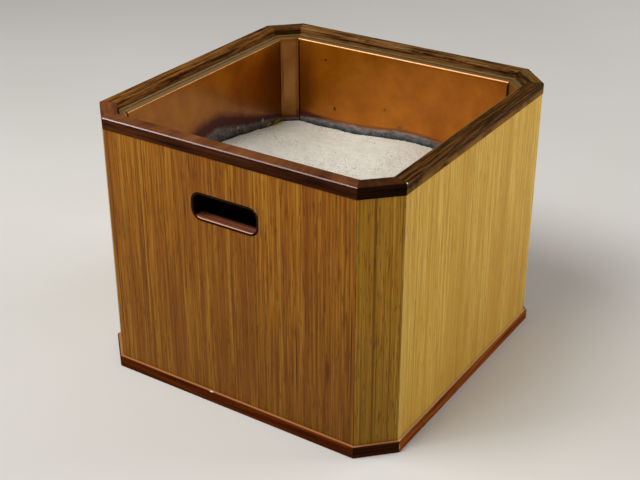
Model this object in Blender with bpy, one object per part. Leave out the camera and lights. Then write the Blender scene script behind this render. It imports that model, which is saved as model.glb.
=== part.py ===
"""Square hibachi: a wooden fire box with cut corners, round a copper ash liner that lifts out.

Metres, +Z up. The origin is on the ground under the middle of the box, and the front faces -Y.
Base, panels, rim and liner all follow one octagon, a square with four short 45 degree corners.
A depth is measured inwards from the outer face of the panels, and a height from the ground.
"""

import math

import bmesh
import bpy
from mathutils import Matrix, Vector

# Box
BODY_WIDTH = 0.420          # across the outer faces of opposite panels
TOTAL_HEIGHT = 0.342        # ground to the top of the rim
CORNER_CHAMFER = 0.037      # leg of each 45 degree corner cut
PANEL_THICKNESS = 0.015
PANEL_ARRIS = 0.0004        # rounding of the panels' upright edges

# Tongues on the panels' upper and lower edges, let into the rim and the base
TONGUE_THICKNESS = 0.005
TONGUE_HEIGHT = 0.004

# Rim
RIM_HEIGHT = 0.014
RIM_PROUD = 0.0005          # rim outside the panels
RIM_OVERHANG = 0.004        # rim past the panels' inner faces
RIM_ARRIS = 0.0016          # rounding of the two upper edges

# Base frame
BASE_HEIGHT = 0.015
BASE_PROUD = 0.004          # base outside the panels
BASE_LEDGE = 0.011          # base past the panels' inner faces, which carries the floor board
BASE_ARRIS = 0.0022         # rounding of the ledge that shows
BASE_FOOT_ARRIS = 0.0008    # easing of the edge at the ground

# Inner woodwork
FLOOR_THICKNESS = 0.009
LEDGER_HEIGHT = 0.022       # strips under the liner's flange
LEDGER_ARRIS = 0.003        # rounding of the strips' lower inner edge
LEDGER_LIP = 0.002          # lip inside the rim, above its underside, that the flange lies on

# Hand grips, one in the front and one in the back
GRIP_LENGTH = 0.094         # opening cut in the panel
GRIP_HEIGHT = 0.036
GRIP_CORNER = 0.013         # corner radius of that opening
GRIP_DROP = 0.0776          # rim top to the middle of the grip
GRIP_LINING = 0.003         # wall of the wooden lining
GRIP_EASE = 0.0012          # rounding of the lining's front edge
GRIP_BACKING = 0.003        # thickness of the plate that closes the grip

# Floor screws, driven up through the base
SCREW_HEAD_DIAMETER = 0.0072
SCREW_HEAD_EDGE = 0.0004    # straight edge of the countersunk head
SCREW_SHANK_DIAMETER = 0.0036
SCREW_POINT = 0.004         # length of the point
SCREW_RECESS = 0.0006       # head below the surface
SCREW_SLOT = 0.0009         # width of the driver slot
SCREW_SLOT_DEPTH = 0.0011
SCREW_COVER = 0.003         # floor left above the point
SCREW_INSET = 0.050         # screw from the end of its base rail

# Copper liner
SHEET = 0.001               # copper sheet
LINER_DEPTH = 0.200         # flange top to the underside
FLANGE_WIDTH = 0.011        # liner wall to the outside of the rolled edge
FLANGE_CLEARANCE = 0.0015   # rolled edge to the rim, all round
ROLL_DIAMETER = 0.0032      # rolled edge, turned up from the flange
BEND_RADIUS = 0.0022        # middle of the sheet, where wall turns into flange
LAP_WIDTH = 0.008           # tabs of the corner strips behind the walls
LAP_MARGIN = 0.001          # tabs short of the bend and of the lower edge
PAN_LIP = 0.012             # upstand of the bottom pan, inside the walls
PAN_EDGE = 0.0007           # rounding under the pan
LINER_CLEARANCE = 0.002     # liner to the woodwork it is lifted past

# Ash
ASH_DEPTH = 0.073           # level bed over the liner's floor
ASH_BANK_HEIGHT = 0.022     # ash banked up against the left wall
ASH_BANK_REACH = 0.079
ASH_HEAP_HEIGHT = 0.016     # low heap towards the back wall
ASH_HEAP_REACH = 0.048
ASH_HEAP_PLACE = (0.028, 0.136)
ASH_CELLS = 20              # grid cells across the ash

# Gaps
FIT_GAP = 0.0003            # between pieces that seat on or in each other
GLUE_LINE = 0.0002          # between mitred ends

# Segments of a rounded edge, of a sheet bend, of a slot corner and of a turned piece
EDGE_STEPS = 4
BEND_STEPS = 6
SLOT_STEPS = 6
TURN_STEPS = 16

# The octagon
STRAIGHT_SIDES = {"front": 0, "right": 90, "back": 180, "left": 270}
CORNER_SIDES = {"front_right": 45, "back_right": 135, "back_left": 225, "front_left": 315}
ROOT_TWO = math.sqrt(2)
HALF_WIDTH = BODY_WIDTH / 2
CORNER_DISTANCE = (BODY_WIDTH - CORNER_CHAMFER) / ROOT_TWO
STRAIGHT_HALF = HALF_WIDTH - CORNER_CHAMFER
CORNER_HALF = CORNER_CHAMFER / ROOT_TWO
MITRE_ANGLE = math.radians(22.5)
MITRE_SLOPE = math.tan(MITRE_ANGLE)
MITRE_SETBACK = GLUE_LINE / 2 / math.cos(MITRE_ANGLE)

# Heights and depths that the pieces share
RIM_BOTTOM = TOTAL_HEIGHT - RIM_HEIGHT
RIM_INNER = PANEL_THICKNESS + RIM_OVERHANG
BASE_INNER = PANEL_THICKNESS + BASE_LEDGE
PANEL_TOP = RIM_BOTTOM - FIT_GAP
PANEL_BOTTOM = BASE_HEIGHT + FIT_GAP
TONGUE_OUTER = (PANEL_THICKNESS - TONGUE_THICKNESS) / 2
TONGUE_INNER = TONGUE_OUTER + TONGUE_THICKNESS
INSIDE = PANEL_THICKNESS + FIT_GAP
FLOOR_BOTTOM = BASE_HEIGHT + FIT_GAP
FLOOR_TOP = FLOOR_BOTTOM + FLOOR_THICKNESS
WOODWORK_TOP = RIM_BOTTOM - FIT_GAP
FLANGE_SEAT = RIM_BOTTOM + LEDGER_LIP
FLANGE_TOP = FLANGE_SEAT + FIT_GAP + SHEET
LINER_INSET = RIM_INNER + FLANGE_CLEARANCE + FLANGE_WIDTH
LINER_UNDERSIDE = FLANGE_TOP - LINER_DEPTH
LINER_FLOOR = LINER_UNDERSIDE + SHEET
BEND_HEIGHT = FLANGE_TOP - SHEET / 2 - BEND_RADIUS
LAP_STEP = SHEET + FIT_GAP
PAN_STRAIGHT = LINER_INSET + FIT_GAP
PAN_CORNER = PAN_STRAIGHT - LAP_STEP
ASH_INSET = PAN_STRAIGHT + SHEET + FIT_GAP
WOODWORK_INNER = LINER_INSET - LAP_STEP - SHEET - LINER_CLEARANCE
GRIP_MIDDLE = TOTAL_HEIGHT - GRIP_DROP
GRIP_BACKING_OUTER = LINER_INSET - SHEET - LINER_CLEARANCE - GRIP_BACKING
GRIP_LINING_INNER = GRIP_BACKING_OUTER - FIT_GAP
SCREW_DEPTH = (INSIDE + BASE_INNER) / 2
SCREW_TIP = FLOOR_TOP - SCREW_COVER
SCREW_ALONG = STRAIGHT_HALF - SCREW_INSET


def linear(hex_colour):
    """Linear colour of an sRGB hex value."""
    channels = [int(hex_colour[i:i + 2], 16) / 255 for i in (1, 3, 5)]
    return [c / 12.92 if c <= 0.04045 else ((c + 0.055) / 1.055) ** 2.4 for c in channels] + [1.0]


def finish(name, hex_colour, roughness, metallic=0.0):
    """Principled material of one colour."""
    material = bpy.data.materials.new(name)
    material.use_nodes = True
    shader = material.node_tree.nodes["Principled BSDF"]
    shader.inputs["Base Color"].default_value = linear(hex_colour)
    shader.inputs["Roughness"].default_value = roughness
    shader.inputs["Metallic"].default_value = metallic
    return material


def arc(centre, radius, start, end, steps):
    """Points on an arc from one angle to another, in degrees."""
    angles = [math.radians(start + (end - start) * i / steps) for i in range(steps + 1)]
    return [Vector(centre) + radius * Vector((math.cos(a), math.sin(a))) for a in angles]


def rounded(corners, steps):
    """Closed outline through (u, v, radius) corners, each corner rounded by its radius."""
    outline = []
    for i, (u, v, radius) in enumerate(corners):
        corner = Vector((u, v))
        if radius == 0:
            outline.append(corner)
            continue
        back = (Vector(corners[i - 1][:2]) - corner).normalized()
        ahead = (Vector(corners[(i + 1) % len(corners)][:2]) - corner).normalized()
        half = back.angle(ahead) / 2
        centre = corner + (back + ahead).normalized() * radius / math.sin(half)
        first = corner + back * radius / math.tan(half) - centre
        turn = math.copysign(math.pi - 2 * half, ahead.cross(back))
        for step in range(steps + 1):
            outline.append(centre + Matrix.Rotation(turn * step / steps, 2) @ first)
    return outline


def sheet_outline(path, thickness):
    """Closed outline of a bent sheet that runs along the path."""
    left = []
    right = []
    for i, point in enumerate(path):
        before = point - path[i - 1] if i > 0 else path[1] - path[0]
        after = path[i + 1] - point if i + 1 < len(path) else before
        normal = (before.normalized() + after.normalized()).normalized().orthogonal()
        reach = thickness / 2 / normal.dot(before.normalized().orthogonal())
        left.append(point + normal * reach)
        right.append(point - normal * reach)
    return left + right[::-1]


def new_verts(result):
    """Vertices among what an operator made."""
    return [item for item in result["geom"] if isinstance(item, bmesh.types.BMVert)]


def as_mesh(name, bm, sharp_degrees=30):
    """Mesh with its faces outwards, smooth over edges flatter than the sharp angle."""
    bmesh.ops.recalc_face_normals(bm, faces=bm.faces[:])
    mesh = bpy.data.meshes.new(name)
    bm.to_mesh(mesh)
    bm.free()
    mesh.shade_smooth()
    mesh.set_sharp_from_angle(angle=math.radians(sharp_degrees))
    return mesh


def extruded(points, push):
    """Solid swept from a closed row of points along a vector."""
    bm = bmesh.new()
    face = bm.faces.new([bm.verts.new(point) for point in points])
    pushed = bmesh.ops.extrude_face_region(bm, geom=[face])
    bmesh.ops.translate(bm, verts=new_verts(pushed), vec=push)
    return bm


def push_faces(bm, faces, push):
    """Move some faces of a solid out or in along a vector, with new walls behind them."""
    pushed = bmesh.ops.extrude_face_region(bm, geom=faces)
    bmesh.ops.delete(bm, geom=faces, context="FACES_ONLY")
    bmesh.ops.translate(bm, verts=new_verts(pushed), vec=push)


def rail(outline, half_length, slope):
    """Solid of one (depth, height) section, along x, whose half length changes with depth by the slope."""
    bm = bmesh.new()
    ends = [bm.verts.new((-half_length - slope * depth, depth, height)) for depth, height in outline]
    pushed = bmesh.ops.extrude_face_region(bm, geom=[bm.faces.new(ends)])
    for vert in new_verts(pushed):
        vert.co.x = -vert.co.x
    return bm


def mitred_rail(outline, half_length):
    """Rail whose ends meet the next side of the octagon in a mitre."""
    return rail(outline, half_length - MITRE_SETBACK, -MITRE_SLOPE)


def turned(profile):
    """Solid turned about z from (radius, height) points that start and end on the axis."""
    bm = bmesh.new()
    verts = [bm.verts.new((radius, 0, height)) for radius, height in profile]
    edges = [bm.edges.new(pair) for pair in zip(verts, verts[1:])]
    bmesh.ops.spin(bm, geom=verts + edges, axis=(0, 0, 1), cent=(0, 0, 0), dvec=(0, 0, 0),
                   angle=2 * math.pi, steps=TURN_STEPS, use_merge=True)
    bmesh.ops.remove_doubles(bm, verts=bm.verts[:], dist=1e-6)
    return bm


def carved(mesh, cutter, places):
    """Mesh with the cutter taken out of it at each place."""
    block = bpy.data.objects.new("block", mesh)
    bpy.context.collection.objects.link(block)
    helpers = [block]
    for place in places:
        tool = bpy.data.objects.new("cutter", cutter)
        bpy.context.collection.objects.link(tool)
        tool.matrix_world = place
        tool.hide_render = True
        tool.display_type = "WIRE"
        cut = block.modifiers.new("cut", "BOOLEAN")
        cut.operation = "DIFFERENCE"
        cut.solver = "EXACT"
        cut.object = tool
        helpers.append(tool)
    graph = bpy.context.evaluated_depsgraph_get()
    result = bpy.data.meshes.new_from_object(block.evaluated_get(graph))
    for helper in helpers:
        bpy.data.objects.remove(helper)
    return result


def add(name, mesh, material, group):
    """Object of a mesh, with its material, in its group."""
    piece = bpy.data.objects.new(name, mesh)
    bpy.context.collection.objects.link(piece)
    piece.parent = group
    if not mesh.materials:
        mesh.materials.append(material)
    return piece


def side_place(turn, distance):
    """Matrix of a side of the octagon: x along it, y inwards, z up."""
    return Matrix.Rotation(math.radians(turn), 4, "Z") @ Matrix.Translation((0, -distance, 0))


def add_round(name, mesh, sides, distance, material, group):
    """One copy of a mesh on each named side."""
    for side, turn in sides.items():
        piece = add(f"{name}_{side}", mesh, material, group)
        place = side_place(turn, distance)
        piece.location = place.to_translation()
        piece.rotation_euler = place.to_euler()


def octagon(straight_depth, corner_depth, height):
    """Corners of the octagon whose straight and corner sides lie at the given depths."""
    wide = HALF_WIDTH - straight_depth
    short = ROOT_TWO * (CORNER_DISTANCE - corner_depth) - wide
    quarter = [(wide, -short, height), (wide, short, height)]
    turns = [Matrix.Rotation(math.radians(turn), 3, "Z") for turn in STRAIGHT_SIDES.values()]
    return [turn @ Vector(corner) for turn in turns for corner in quarter]


def rim_outline():
    """Section of the rim: rounded upper edges, and a groove below for the panels' tongues."""
    groove_outer = TONGUE_OUTER - FIT_GAP
    groove_inner = TONGUE_INNER + FIT_GAP
    groove_top = RIM_BOTTOM + TONGUE_HEIGHT
    return rounded([
        (-RIM_PROUD, RIM_BOTTOM, 0),
        (groove_outer, RIM_BOTTOM, 0),
        (groove_outer, groove_top, 0),
        (groove_inner, groove_top, 0),
        (groove_inner, RIM_BOTTOM, 0),
        (RIM_INNER, RIM_BOTTOM, 0),
        (RIM_INNER, TOTAL_HEIGHT, RIM_ARRIS),
        (-RIM_PROUD, TOTAL_HEIGHT, RIM_ARRIS),
    ], EDGE_STEPS)


def base_outline():
    """Section of the base frame: a rounded ledge outside, and a groove above for the tongues."""
    groove_outer = TONGUE_OUTER - FIT_GAP
    groove_inner = TONGUE_INNER + FIT_GAP
    groove_floor = BASE_HEIGHT - TONGUE_HEIGHT
    return rounded([
        (-BASE_PROUD, 0, BASE_FOOT_ARRIS),
        (BASE_INNER, 0, 0),
        (BASE_INNER, BASE_HEIGHT, 0),
        (groove_inner, BASE_HEIGHT, 0),
        (groove_inner, groove_floor, 0),
        (groove_outer, groove_floor, 0),
        (groove_outer, BASE_HEIGHT, 0),
        (-BASE_PROUD, BASE_HEIGHT, BASE_ARRIS),
    ], EDGE_STEPS)


def panel_outline():
    """Section of a panel: a board with a tongue along its upper and lower edges."""
    return [
        (0, PANEL_BOTTOM),
        (TONGUE_OUTER, PANEL_BOTTOM),
        (TONGUE_OUTER, PANEL_BOTTOM - TONGUE_HEIGHT),
        (TONGUE_INNER, PANEL_BOTTOM - TONGUE_HEIGHT),
        (TONGUE_INNER, PANEL_BOTTOM),
        (PANEL_THICKNESS, PANEL_BOTTOM),
        (PANEL_THICKNESS, PANEL_TOP),
        (TONGUE_INNER, PANEL_TOP),
        (TONGUE_INNER, PANEL_TOP + TONGUE_HEIGHT),
        (TONGUE_OUTER, PANEL_TOP + TONGUE_HEIGHT),
        (TONGUE_OUTER, PANEL_TOP),
        (0, PANEL_TOP),
    ]


def panel_board(name, half_length):
    """Mitred board of the panel's section, with its two upright outer edges rounded."""
    bm = mitred_rail(panel_outline(), half_length)
    upright = [edge for edge in bm.edges
               if all(v.co.y == 0 for v in edge.verts) and edge.verts[0].co.x == edge.verts[1].co.x]
    bmesh.ops.bevel(bm, geom=upright, offset=PANEL_ARRIS, affect="EDGES", segments=2, profile=0.5, material=-1)
    return as_mesh(name, bm)


def slot_outline(margin, depth):
    """Rounded outline of the grip's opening, grown by the margin, at a depth."""
    along = GRIP_LENGTH / 2 + margin
    up = GRIP_HEIGHT / 2 + margin
    radius = GRIP_CORNER + margin
    corners = [(-along, -up, radius), (along, -up, radius), (along, up, radius), (-along, up, radius)]
    return [(u, depth, GRIP_MIDDLE + v) for u, v in rounded(corners, SLOT_STEPS)]


def add_panels(veneer, group):
    """Four panels, front and back with the grip's opening, and four corner stiles, all mitred together."""
    panel = panel_board("panel", STRAIGHT_HALF)
    stile = panel_board("corner_stile", CORNER_HALF)
    slot = as_mesh("slot", extruded(slot_outline(0, -PANEL_THICKNESS), (0, 3 * PANEL_THICKNESS, 0)))
    gripped = carved(panel, slot, [Matrix()])
    plain_sides = {side: STRAIGHT_SIDES[side] for side in ("right", "left")}
    grip_sides = {side: STRAIGHT_SIDES[side] for side in ("front", "back")}
    add_round("panel", panel, plain_sides, HALF_WIDTH, veneer, group)
    add_round("panel", gripped, grip_sides, HALF_WIDTH, veneer, group)
    add_round("corner_stile", stile, CORNER_SIDES, CORNER_DISTANCE, veneer, group)


def add_rim(rosewood, group):
    """Eight mitred rim pieces."""
    straight = as_mesh("rim_rail", mitred_rail(rim_outline(), STRAIGHT_HALF))
    corner = as_mesh("rim_corner", mitred_rail(rim_outline(), CORNER_HALF))
    add_round("rim_rail", straight, STRAIGHT_SIDES, HALF_WIDTH, rosewood, group)
    add_round("rim_corner", corner, CORNER_SIDES, CORNER_DISTANCE, rosewood, group)


def screw_profile(clearance):
    """Turned profile of a countersunk screw, head down, grown by the clearance."""
    head = SCREW_HEAD_DIAMETER / 2 + clearance
    shank = SCREW_SHANK_DIAMETER / 2 + clearance
    bottom = SCREW_RECESS - clearance
    shoulder = SCREW_RECESS + SCREW_HEAD_EDGE + head - shank
    tip = SCREW_TIP + clearance
    return [
        (0, bottom),
        (head, bottom),
        (head, SCREW_RECESS + SCREW_HEAD_EDGE),
        (shank, shoulder),
        (shank, tip - SCREW_POINT),
        (0, tip),
    ]


def screw_hole():
    """Cutter for a screw's hole, open to the ground."""
    profile = screw_profile(FIT_GAP)
    for i in range(2):
        profile[i] = (profile[i][0], -SCREW_RECESS)
    return as_mesh("screw_hole", turned(profile))


def slotted_screw():
    """Countersunk wood screw with a straight driver slot."""
    screw = as_mesh("screw", turned(screw_profile(0)))
    bm = bmesh.new()
    bmesh.ops.create_cube(bm, size=2)
    size = (SCREW_HEAD_DIAMETER, SCREW_SLOT / 2, SCREW_SLOT_DEPTH)
    bmesh.ops.scale(bm, verts=bm.verts[:], vec=size)
    return carved(screw, as_mesh("driver_slot", bm), [Matrix.Translation((0, 0, SCREW_RECESS))])


def add_base(rosewood, deal, steel, group):
    """Eight mitred base pieces, the floor board on their inner ledge, and the screws that hold it."""
    local_places = [Matrix.Translation((along, SCREW_DEPTH, 0)) for along in (-SCREW_ALONG, SCREW_ALONG)]
    hole = screw_hole()
    straight = as_mesh("base_rail", mitred_rail(base_outline(), STRAIGHT_HALF))
    corner = as_mesh("base_corner", mitred_rail(base_outline(), CORNER_HALF))
    add_round("base_rail", carved(straight, hole, local_places), STRAIGHT_SIDES, HALF_WIDTH, rosewood, group)
    add_round("base_corner", corner, CORNER_SIDES, CORNER_DISTANCE, rosewood, group)

    places = {}
    for side, turn in STRAIGHT_SIDES.items():
        for number, place in enumerate(local_places, start=1):
            places[f"floor_screw_{side}_{number}"] = side_place(turn, HALF_WIDTH) @ place
    board = extruded(octagon(INSIDE, INSIDE, FLOOR_BOTTOM), (0, 0, FLOOR_THICKNESS))
    add("floor_board", carved(as_mesh("floor_board", board), hole, places.values()), deal, group)
    screw = slotted_screw()
    for name, place in places.items():
        piece = add(name, screw, steel, group)
        piece.location = place.to_translation()
        piece.rotation_euler = place.to_euler()


def add_inner_woodwork(deal, group):
    """Corner blocks glued behind the stiles, and ledger strips between them for the liner's flange."""
    block_outline = [
        (INSIDE, FLOOR_TOP + FIT_GAP),
        (WOODWORK_INNER, FLOOR_TOP + FIT_GAP),
        (WOODWORK_INNER, WOODWORK_TOP),
        (INSIDE, WOODWORK_TOP),
    ]
    block_half = CORNER_HALF - INSIDE * MITRE_SLOPE - INSIDE
    block = as_mesh("corner_block", rail(block_outline, block_half, 1))
    add_round("corner_block", block, CORNER_SIDES, CORNER_DISTANCE, deal, group)

    ledger_outline = rounded([
        (INSIDE, FLANGE_SEAT - LEDGER_HEIGHT, 0),
        (WOODWORK_INNER, FLANGE_SEAT - LEDGER_HEIGHT, LEDGER_ARRIS),
        (WOODWORK_INNER, FLANGE_SEAT, 0),
        (RIM_INNER + FIT_GAP, FLANGE_SEAT, 0),
        (RIM_INNER + FIT_GAP, WOODWORK_TOP, 0),
        (INSIDE, WOODWORK_TOP, 0),
    ], EDGE_STEPS)
    ledger_half = ROOT_TWO * (CORNER_DISTANCE - WOODWORK_INNER - FIT_GAP) - HALF_WIDTH
    ledger = as_mesh("liner_ledger", rail(ledger_outline, ledger_half, 1))
    add_round("liner_ledger", ledger, STRAIGHT_SIDES, HALF_WIDTH, deal, group)


def add_grips(rosewood, group):
    """Hand grips: a lining let through the panel, with a rounded lip, and a plate that closes it."""
    bm = bmesh.new()
    face = bm.faces.new([bm.verts.new(point) for point in slot_outline(-FIT_GAP, 0)])
    face.normal_update()
    bmesh.ops.inset_region(bm, faces=[face], thickness=GRIP_LINING, use_boundary=True, use_even_offset=True)
    lip = face.edges[:]
    bmesh.ops.delete(bm, geom=[face], context="FACES_ONLY")
    pushed = bmesh.ops.extrude_face_region(bm, geom=bm.faces[:])
    bmesh.ops.translate(bm, verts=new_verts(pushed), vec=(0, GRIP_LINING_INNER, 0))
    bmesh.ops.bevel(bm, geom=lip, offset=GRIP_EASE, affect="EDGES", segments=EDGE_STEPS - 1,
                    profile=0.5, material=-1)
    lining = as_mesh("grip_lining", bm)
    plate = extruded(slot_outline(-FIT_GAP, GRIP_BACKING_OUTER), (0, GRIP_BACKING, 0))
    backing = as_mesh("grip_backing", plate)
    sides = {side: STRAIGHT_SIDES[side] for side in ("front", "back")}
    add_round("grip_lining", lining, sides, HALF_WIDTH, rosewood, group)
    add_round("grip_backing", backing, sides, HALF_WIDTH, rosewood, group)


def liner_outline(step):
    """Section of a liner sheet set back by the step: wall, bend, flange and rolled edge."""
    wall = LINER_INSET - SHEET / 2 - step
    flange = FLANGE_TOP - SHEET / 2
    roll_radius = (ROLL_DIAMETER - SHEET) / 2
    roll_depth = LINER_INSET - FLANGE_WIDTH + ROLL_DIAMETER / 2
    path = [Vector((wall, LINER_UNDERSIDE))]
    path += arc((wall - BEND_RADIUS, BEND_HEIGHT), BEND_RADIUS, 0, 90, BEND_STEPS)
    path += arc((roll_depth, flange + roll_radius), roll_radius, 270, 0, 2 * BEND_STEPS)
    return sheet_outline(path, SHEET)


def liner_corner():
    """Corner strip: set back by a sheet, with tabs that lap behind the walls on both sides."""
    bm = mitred_rail(liner_outline(LAP_STEP), CORNER_HALF)
    low = LINER_UNDERSIDE + LAP_MARGIN
    high = BEND_HEIGHT - LAP_MARGIN
    for height in (low, high):
        geometry = bm.verts[:] + bm.edges[:] + bm.faces[:]
        bmesh.ops.bisect_plane(bm, geom=geometry, dist=1e-7, plane_co=(0, 0, height), plane_no=(0, 0, 1))
    bm.normal_update()
    for end in (-1, 1):
        edge = [face for face in bm.faces
                if abs(face.normal.x) > 0.5 and face.calc_center_median().x * end > 0
                and low < face.calc_center_median().z < high]
        push_faces(bm, edge, Vector((end, 1, 0)).normalized() * LAP_WIDTH)
    return as_mesh("liner_corner", bm)


def liner_pan():
    """Bottom pan: a floor with an upstand inside the walls and corner strips."""
    bm = extruded(octagon(PAN_STRAIGHT, PAN_CORNER, LINER_UNDERSIDE), (0, 0, PAN_LIP))
    bm.normal_update()
    lip_top = LINER_UNDERSIDE + PAN_LIP
    top = [face for face in bm.faces if all(abs(v.co.z - lip_top) < FIT_GAP for v in face.verts)]
    bmesh.ops.inset_region(bm, faces=top, thickness=SHEET, use_even_offset=True)
    push_faces(bm, top, (0, 0, SHEET - PAN_LIP))
    under = [edge for edge in bm.edges if all(abs(v.co.z - LINER_UNDERSIDE) < FIT_GAP for v in edge.verts)]
    bmesh.ops.bevel(bm, geom=under, offset=PAN_EDGE, affect="EDGES", segments=2, profile=0.5, material=-1)
    return as_mesh("liner_floor", bm)


def add_liner(copper, group):
    """Copper liner: four walls, four corner strips and a bottom pan."""
    wall = as_mesh("liner_wall", mitred_rail(liner_outline(0), STRAIGHT_HALF))
    add_round("liner_wall", wall, STRAIGHT_SIDES, HALF_WIDTH, copper, group)
    add_round("liner_corner", liner_corner(), CORNER_SIDES, CORNER_DISTANCE, copper, group)
    add("liner_floor", liner_pan(), copper, group)


def ash_height(x, y):
    """Height of the ash: a level bed, banked up at the left wall and heaped towards the back."""
    bank_x = x + HALF_WIDTH - LINER_INSET
    heap_x = x - ASH_HEAP_PLACE[0]
    heap_y = y - ASH_HEAP_PLACE[1]
    bank = ASH_BANK_HEIGHT * math.exp(-(bank_x ** 2 + y ** 2) / (2 * ASH_BANK_REACH ** 2))
    heap = ASH_HEAP_HEIGHT * math.exp(-(heap_x ** 2 + heap_y ** 2) / (2 * ASH_HEAP_REACH ** 2))
    return LINER_FLOOR + FIT_GAP + ASH_DEPTH + bank + heap


def add_ash(ash, group):
    """Bed of ash that fills the bottom of the liner."""
    bm = bmesh.new()
    bmesh.ops.create_grid(bm, x_segments=ASH_CELLS, y_segments=ASH_CELLS, size=HALF_WIDTH - ASH_INSET)
    for turn in CORNER_SIDES.values():
        outwards = Matrix.Rotation(math.radians(turn), 3, "Z") @ Vector((0, -1, 0))
        geometry = bm.verts[:] + bm.edges[:] + bm.faces[:]
        bmesh.ops.bisect_plane(bm, geom=geometry, dist=1e-7, clear_outer=True,
                               plane_co=outwards * (CORNER_DISTANCE - ASH_INSET), plane_no=outwards)
    for vert in bm.verts:
        vert.co.z = ash_height(vert.co.x, vert.co.y)
    pushed = bmesh.ops.extrude_face_region(bm, geom=bm.faces[:])
    under = new_verts(pushed)
    for vert in under:
        vert.co.z = LINER_FLOOR + FIT_GAP
    bm.normal_update()
    flat = {edge for vert in under for edge in vert.link_edges}
    bmesh.ops.dissolve_limit(bm, angle_limit=math.radians(0.1), verts=under, edges=list(flat))
    add("ash_bed", as_mesh("ash_bed", bm, 60), ash, group)


def main():
    """Build the hibachi: a fixed box, and a liner that lifts straight up along the z axis."""
    for old in list(bpy.data.objects):
        bpy.data.objects.remove(old, do_unlink=True)
    box = bpy.data.objects.new("box", None)
    liner = bpy.data.objects.new("liner", None)
    for group in (box, liner):
        bpy.context.collection.objects.link(group)

    veneer = finish("quartered_veneer", "#9A6E32", 0.45)
    rosewood = finish("oiled_rosewood", "#4A2616", 0.38)
    deal = finish("planed_softwood", "#C3A070", 0.65)
    steel = finish("zinc_steel", "#A8A8A4", 0.35, 1.0)
    copper = finish("aged_copper", "#9A5418", 0.36, 1.0)
    ash = finish("wood_ash", "#D2CABA", 0.95)

    add_base(rosewood, deal, steel, box)
    add_panels(veneer, box)
    add_grips(rosewood, box)
    add_rim(rosewood, box)
    add_inner_woodwork(deal, box)
    add_liner(copper, liner)
    add_ash(ash, liner)


main()
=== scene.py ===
"""Looks of the square hibachi: worn rosewood, straight-grained veneer, stained copper and a bed of ash.

Metres, +Z up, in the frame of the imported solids: the front faces -Y and the ground is z = 0.
A side frame has x along one side of the octagon, y inwards from the panels' outer faces and z up.
"""

import math
import random

import bmesh
import bpy
from mathutils import Euler, Matrix, Vector, noise


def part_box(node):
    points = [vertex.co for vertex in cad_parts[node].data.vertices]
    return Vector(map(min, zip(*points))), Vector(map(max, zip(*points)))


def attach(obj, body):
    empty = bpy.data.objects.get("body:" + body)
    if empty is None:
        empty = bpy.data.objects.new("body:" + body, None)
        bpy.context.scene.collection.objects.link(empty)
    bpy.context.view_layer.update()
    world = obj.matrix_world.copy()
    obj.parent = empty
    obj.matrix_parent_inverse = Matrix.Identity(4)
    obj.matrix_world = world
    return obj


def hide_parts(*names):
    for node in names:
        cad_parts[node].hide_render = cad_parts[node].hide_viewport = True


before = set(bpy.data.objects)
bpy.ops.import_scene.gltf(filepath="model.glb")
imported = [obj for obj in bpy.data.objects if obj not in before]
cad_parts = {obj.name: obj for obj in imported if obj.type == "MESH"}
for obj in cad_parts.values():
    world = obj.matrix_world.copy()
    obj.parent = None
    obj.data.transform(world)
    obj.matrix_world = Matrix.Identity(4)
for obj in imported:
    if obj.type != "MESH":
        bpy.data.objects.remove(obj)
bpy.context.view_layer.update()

# Low and high corners of the solids that give the main sizes
panel_low, panel_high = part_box("panel_front")
rim_low, rim_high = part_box("rim_rail_front")
_, ledger_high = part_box("liner_ledger_front")
wall_low, wall_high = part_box("liner_wall_front")
bed_low, bed_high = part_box("ash_bed")
FIT_GAP = 0.0003            # between pieces that fit together

# The octagon of the box
HALF_WIDTH = -panel_low.y   # middle of the box to the outer face of a panel
CORNER_CHAMFER = 0.037      # leg of each 45 degree corner cut
CORNER_DISTANCE = (2 * HALF_WIDTH - CORNER_CHAMFER) / math.sqrt(2)
STRAIGHT_HALF = HALF_WIDTH - CORNER_CHAMFER
CORNER_HALF = CORNER_CHAMFER / math.sqrt(2)
STRAIGHT_SIDES = {"front": 0, "right": 90, "back": 180, "left": 270}
CORNER_SIDES = {"front_right": 45, "back_right": 135, "back_left": 225, "front_left": 315}
FRONT_SPAN = (-STRAIGHT_HALF, STRAIGHT_HALF)
MITRE_SLOPE = math.tan(math.radians(22.5))
MITRE_SETBACK = 0.00011     # half a glue line, along the rail

# Rim, as depths and heights of its section
RIM_OUTER = rim_low.y + HALF_WIDTH
RIM_INNER = rim_high.y + HALF_WIDTH
RIM_BOTTOM = rim_low.z
RIM_TOP = rim_high.z
RIM_ARRIS = 0.0016          # rounding of the upper edges
ARRIS_FACETS = 5
WAXED_ARRIS = 0.0010        # flat of the front rail's polished edges
CHAMFER_SLANT = 0.4         # least product of the normal's y and z on such a flat
TONGUE_OUTER = 0.005        # tongues of the panels, in the rim's groove
TONGUE_INNER = 0.010
GROOVE_OUTER = TONGUE_OUTER - FIT_GAP
GROOVE_INNER = TONGUE_INNER + FIT_GAP
GROOVE_TOP = panel_high.z + FIT_GAP

# Wear of the rim
RIM_CELL = 0.0016           # length of the cells that wear can shape
RIM_LEVELS = (0.3325, 0.3350, 0.3375)   # heights at which the sides are cut for it
DENT_DEPTH = 0.0011
DENT_SPACING = 0.009        # small dents
DENT_LEVEL = 0.15           # noise from which a dent starts
HOLLOW_SPACING = 0.030      # long shallow ones
HOLLOW_SHARE = 0.5          # their depth beside a dent's
RUB_SPACING = 0.022         # rubbed patches
RUB_LEVEL = 0.5             # rubbing between the patches
SCUFF_SPACING = 0.006       # scuffs inside them
SCUFF_SHARE = 0.6
FLAT_POWER = 4              # how fast the wear and painted sheen of the top end where it rounds off
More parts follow.
